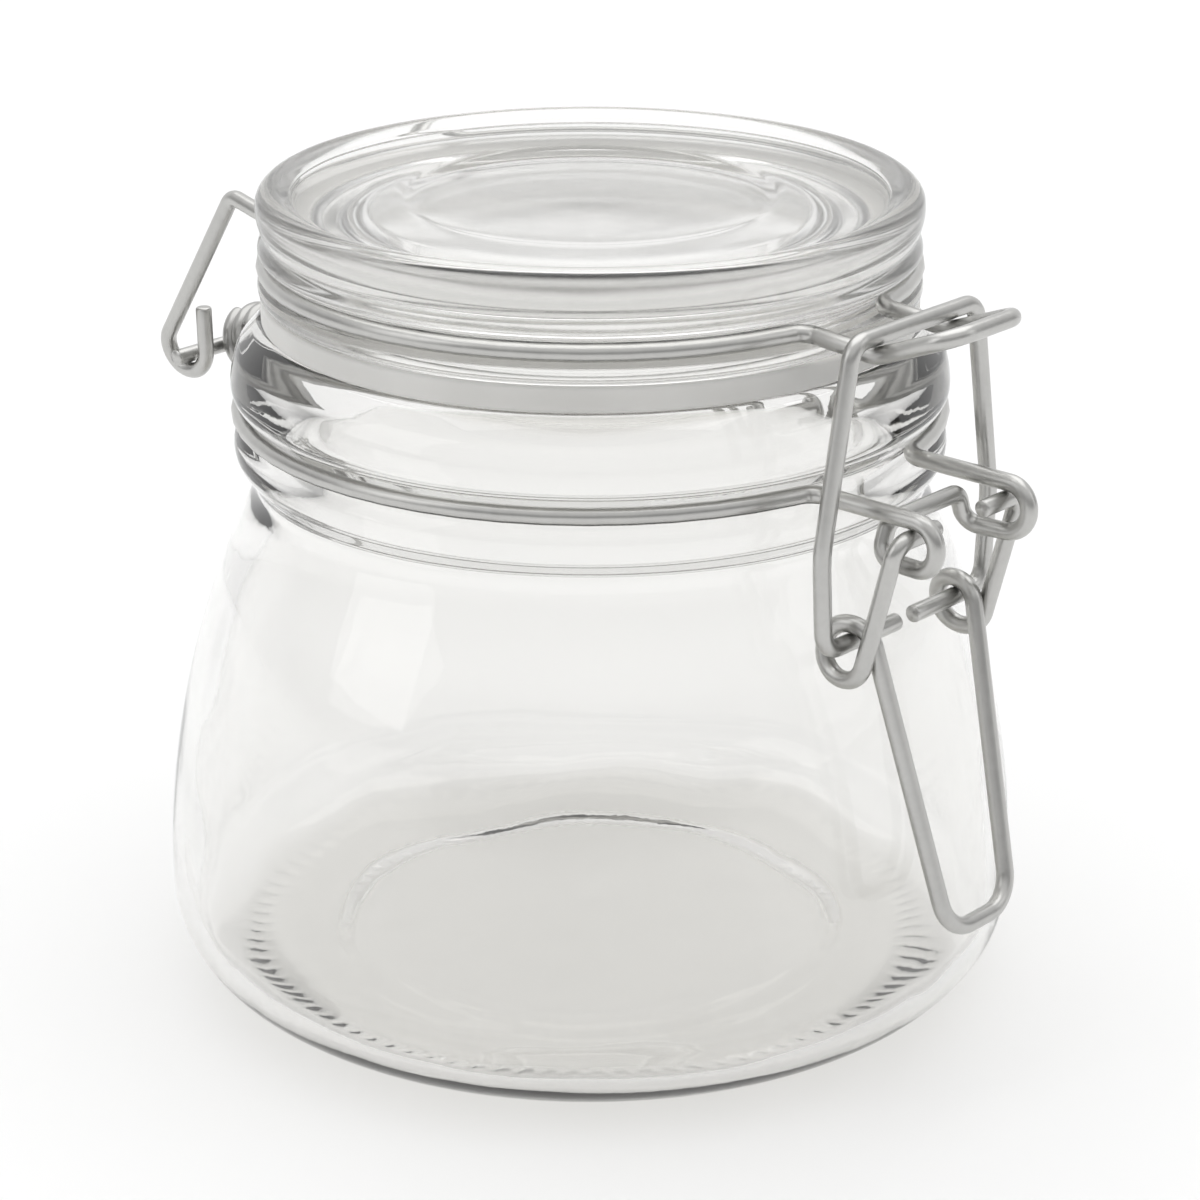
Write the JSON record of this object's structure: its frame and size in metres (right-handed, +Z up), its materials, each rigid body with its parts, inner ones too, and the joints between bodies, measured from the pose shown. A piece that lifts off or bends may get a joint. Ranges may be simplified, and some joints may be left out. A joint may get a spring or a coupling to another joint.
{
  "type": "bail clamp jar",
  "caption": "Squat clear glass storage jar with a hinged glass lid, a flat gasket and a wire lever clamp that holds the lid shut.",
  "frame": {"origin": "on the jar's axis at the table, the centre of the ring it stands on", "axes": "+Z up along the jar's axis, the clamp toward -Y, the hinge toward +Y, +X across"},
  "size_m": [0.1012, 0.1236, 0.096],
  "materials": {
    "clear_glass": "clear, pressed",
    "wire": "satin, zinc plated",
    "gasket_rubber": "matt, translucent"
  },
  "bodies": {
    "jar": {"jar_glass": "clear_glass", "neck_wire": "wire", "hinge_binding": "wire"},
    "lid": {"lid_glass": "clear_glass", "gasket": "gasket_rubber", "lid_wire": "wire"},
    "lever": {"lever_wire": "wire"},
    "bail": {"bail_wire": "wire"}
  },
  "joints": [
    {"name": "lid_hinge", "type": "hinge", "parent": "jar", "child": "lid", "pos_m": [0, 0.0605, 0.0648], "axis": [-1, 0, 0], "range_deg": [0, 110]},
    {"name": "lever_pivot", "type": "hinge", "parent": "jar", "child": "lever", "pos_m": [0, -0.0532, 0.06795], "axis": [-1, 0, 0], "range_deg": [0, 121]},
    {"name": "bail_pivot", "type": "hinge", "parent": "lever", "child": "bail", "pos_m": [0, -0.0463, 0.05475], "axis": [-1, 0, 0], "range_deg": [-143, 0]}
  ],
  "couplings": [
    {"joint": "lever_pivot", "follows": "lid_hinge", "ratio": 1.1},
    {"joint": "bail_pivot", "follows": "lid_hinge", "ratio": -1.3}
  ]
}
